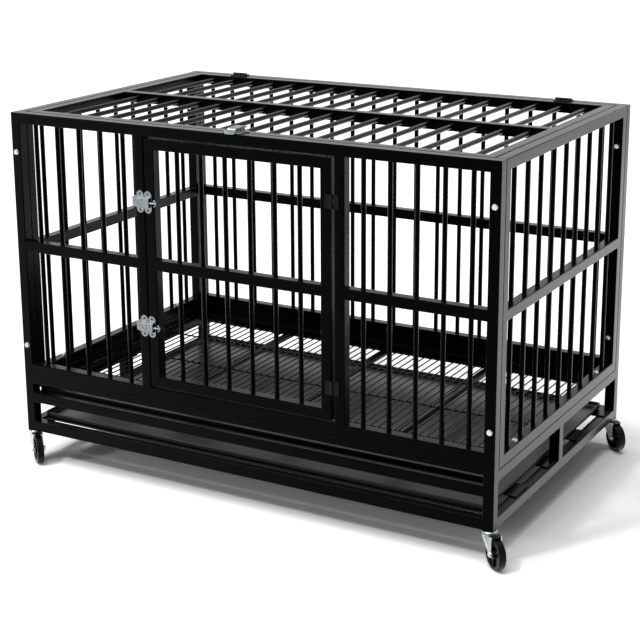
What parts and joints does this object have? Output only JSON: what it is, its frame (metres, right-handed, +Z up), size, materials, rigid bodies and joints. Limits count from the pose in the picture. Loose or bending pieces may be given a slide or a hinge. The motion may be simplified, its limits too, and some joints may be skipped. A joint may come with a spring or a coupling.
{
  "type": "dog cage",
  "caption": "Barred steel dog cage on swivel casters, with a hinged front door, a hinged roof door, slide latches, a wire floor grate and a pull-out tray.",
  "frame": {"origin": "on the floor under the middle of the cage's bounding box, its parked casters included", "axes": "+X to the right along the width seen from the front door, +Y to the back, +Z up; the front faces -Y"},
  "size_m": [1.2349, 0.7843, 0.843],
  "materials": {
    "black_steel": "semi-gloss black powder coat",
    "hinge_black": "gloss black enamel",
    "zinc": "bright zinc plate",
    "wheel_rubber": "moulded, satin",
    "tray_coat": "glossy dark grey coat"
  },
  "bodies": {
    "frame": {"back_panel": "black_steel", "base_bolt_front_left": "zinc", "base_bolt_front_right": "zinc", "base_bolt_rear_left": "zinc", "base_bolt_rear_right": "zinc", "base_frame": "black_steel", "caster_front_left_stem": "zinc", "caster_front_right_stem": "zinc", "caster_rear_left_stem": "zinc", "caster_rear_right_stem": "zinc", "corner_bolt_front_left_lower": "zinc", "corner_bolt_front_left_upper": "zinc", "corner_bolt_front_right_lower": "zinc", "corner_bolt_front_right_upper": "zinc", "corner_bolt_rear_left_lower": "zinc", "corner_bolt_rear_left_upper": "zinc", "corner_bolt_rear_right_lower": "zinc", "corner_bolt_rear_right_upper": "zinc", "door_hinge_lower_frame_leaf": "hinge_black", "door_hinge_upper_frame_leaf": "hinge_black", "door_latch_lower_keeper": "zinc", "door_latch_upper_keeper": "zinc", "floor_grate": "black_steel", "front_panel": "black_steel", "left_side_panel": "black_steel", "right_side_panel": "black_steel", "roof_hinge_left_frame_leaf": "hinge_black", "roof_hinge_right_frame_leaf": "hinge_black", "roof_latch_keeper": "zinc"},
    "front_door": {"door_hinge_lower_door_leaf": "hinge_black", "door_hinge_upper_door_leaf": "hinge_black", "door_latch_lower_body": "zinc", "door_latch_upper_body": "zinc", "front_door": "black_steel"},
    "roof_door": {"roof_door": "black_steel", "roof_hinge_left_door_leaf": "hinge_black", "roof_hinge_right_door_leaf": "hinge_black", "roof_latch_body": "zinc"},
    "tray": {"waste_tray": "tray_coat"},
    "caster_front_left_fork": {"caster_front_left_axle": "zinc", "caster_front_left_fork": "zinc"},
    "caster_front_left_brake": {"caster_front_left_brake": "hinge_black"},
    "caster_front_left_wheel": {"caster_front_left_wheel": "wheel_rubber"},
    "caster_front_right_fork": {"caster_front_right_axle": "zinc", "caster_front_right_fork": "zinc"},
    "caster_front_right_brake": {"caster_front_right_brake": "hinge_black"},
    "caster_front_right_wheel": {"caster_front_right_wheel": "wheel_rubber"},
    "caster_rear_left_fork": {"caster_rear_left_axle": "zinc", "caster_rear_left_fork": "zinc"},
    "caster_rear_left_brake": {"caster_rear_left_brake": "hinge_black"},
    "caster_rear_left_wheel": {"caster_rear_left_wheel": "wheel_rubber"},
    "caster_rear_right_fork": {"caster_rear_right_axle": "zinc", "caster_rear_right_fork": "zinc"},
    "caster_rear_right_brake": {"caster_rear_right_brake": "hinge_black"},
    "caster_rear_right_wheel": {"caster_rear_right_wheel": "wheel_rubber"},
    "door_latch_lower_slide": {"door_latch_lower_bolt": "zinc"},
    "door_latch_upper_slide": {"door_latch_upper_bolt": "zinc"},
    "roof_latch_slide": {"roof_latch_bolt": "zinc"}
  },
  "joints": [
    {"name": "front_door_swing", "type": "hinge", "parent": "frame", "child": "front_door", "pos_m": [0.2116, -0.36249, 0.2433], "axis": [0, 0, 1], "range_deg": [0, 170]},
    {"name": "roof_door_lift", "type": "hinge", "parent": "frame", "child": "roof_door", "pos_m": [-0.5869, 0.36251, 0.834], "axis": [-1, 0, 0], "range_deg": [0, 170]},
    {"name": "tray_slide", "type": "slide", "parent": "frame", "child": "tray", "axis": [0, -1, 0], "range_m": [0, 0.6]},
    {"name": "upper_latch_shoot", "type": "slide", "parent": "front_door", "child": "door_latch_upper_slide", "axis": [-1, 0, 0], "range_m": [0, 0.008]},
    {"name": "lower_latch_shoot", "type": "slide", "parent": "front_door", "child": "door_latch_lower_slide", "axis": [-1, 0, 0], "range_m": [0, 0.008]},
    {"name": "roof_latch_shoot", "type": "slide", "parent": "roof_door", "child": "roof_latch_slide", "axis": [0, -1, 0], "range_m": [0, 0.008]},
    {"name": "caster_front_left_swivel", "type": "hinge", "parent": "frame", "child": "caster_front_left_fork", "pos_m": [-0.6009, -0.34649, 0], "axis": [0, 0, 1], "continuous": true},
    {"name": "caster_front_left_roll", "type": "hinge", "parent": "caster_front_left_fork", "child": "caster_front_left_wheel", "pos_m": [-0.5783, -0.36545, 0.033], "axis": [0.6428, 0.766, 0], "continuous": true},
    {"name": "caster_front_left_press", "type": "hinge", "parent": "caster_front_left_fork", "child": "caster_front_left_brake", "pos_m": [-0.58672, -0.35839, 0.0669], "axis": [0.6428, 0.766, 0], "range_deg": [0, 6]},
    {"name": "caster_front_right_swivel", "type": "hinge", "parent": "frame", "child": "caster_front_right_fork", "pos_m": [0.5651, -0.34649, 0], "axis": [0, 0, 1], "continuous": true},
    {"name": "caster_front_right_roll", "type": "hinge", "parent": "caster_front_right_fork", "child": "caster_front_right_wheel", "pos_m": [0.5877, -0.36545, 0.033], "axis": [0.6428, 0.766, 0], "continuous": true},
    {"name": "caster_front_right_press", "type": "hinge", "parent": "caster_front_right_fork", "child": "caster_front_right_brake", "pos_m": [0.57927, -0.35839, 0.0669], "axis": [0.6428, 0.766, 0], "range_deg": [0, 6]},
    {"name": "caster_rear_left_swivel", "type": "hinge", "parent": "frame", "child": "caster_rear_left_fork", "pos_m": [-0.6009, 0.37551, 0], "axis": [0, 0, 1], "continuous": true},
    {"name": "caster_rear_left_roll", "type": "hinge", "parent": "caster_rear_left_fork", "child": "caster_rear_left_wheel", "pos_m": [-0.5783, 0.35655, 0.033], "axis": [0.6428, 0.766, 0], "continuous": true},
    {"name": "caster_rear_left_press", "type": "hinge", "parent": "caster_rear_left_fork", "child": "caster_rear_left_brake", "pos_m": [-0.58672, 0.36362, 0.0669], "axis": [0.6428, 0.766, 0], "range_deg": [0, 6]},
    {"name": "caster_rear_right_swivel", "type": "hinge", "parent": "frame", "child": "caster_rear_right_fork", "pos_m": [0.5651, 0.37551, 0], "axis": [0, 0, 1], "continuous": true},
    {"name": "caster_rear_right_roll", "type": "hinge", "parent": "caster_rear_right_fork", "child": "caster_rear_right_wheel", "pos_m": [0.5877, 0.35655, 0.033], "axis": [0.6428, 0.766, 0], "continuous": true},
    {"name": "caster_rear_right_press", "type": "hinge", "parent": "caster_rear_right_fork", "child": "caster_rear_right_brake", "pos_m": [0.57927, 0.36362, 0.0669], "axis": [0.6428, 0.766, 0], "range_deg": [0, 6]}
  ]
}
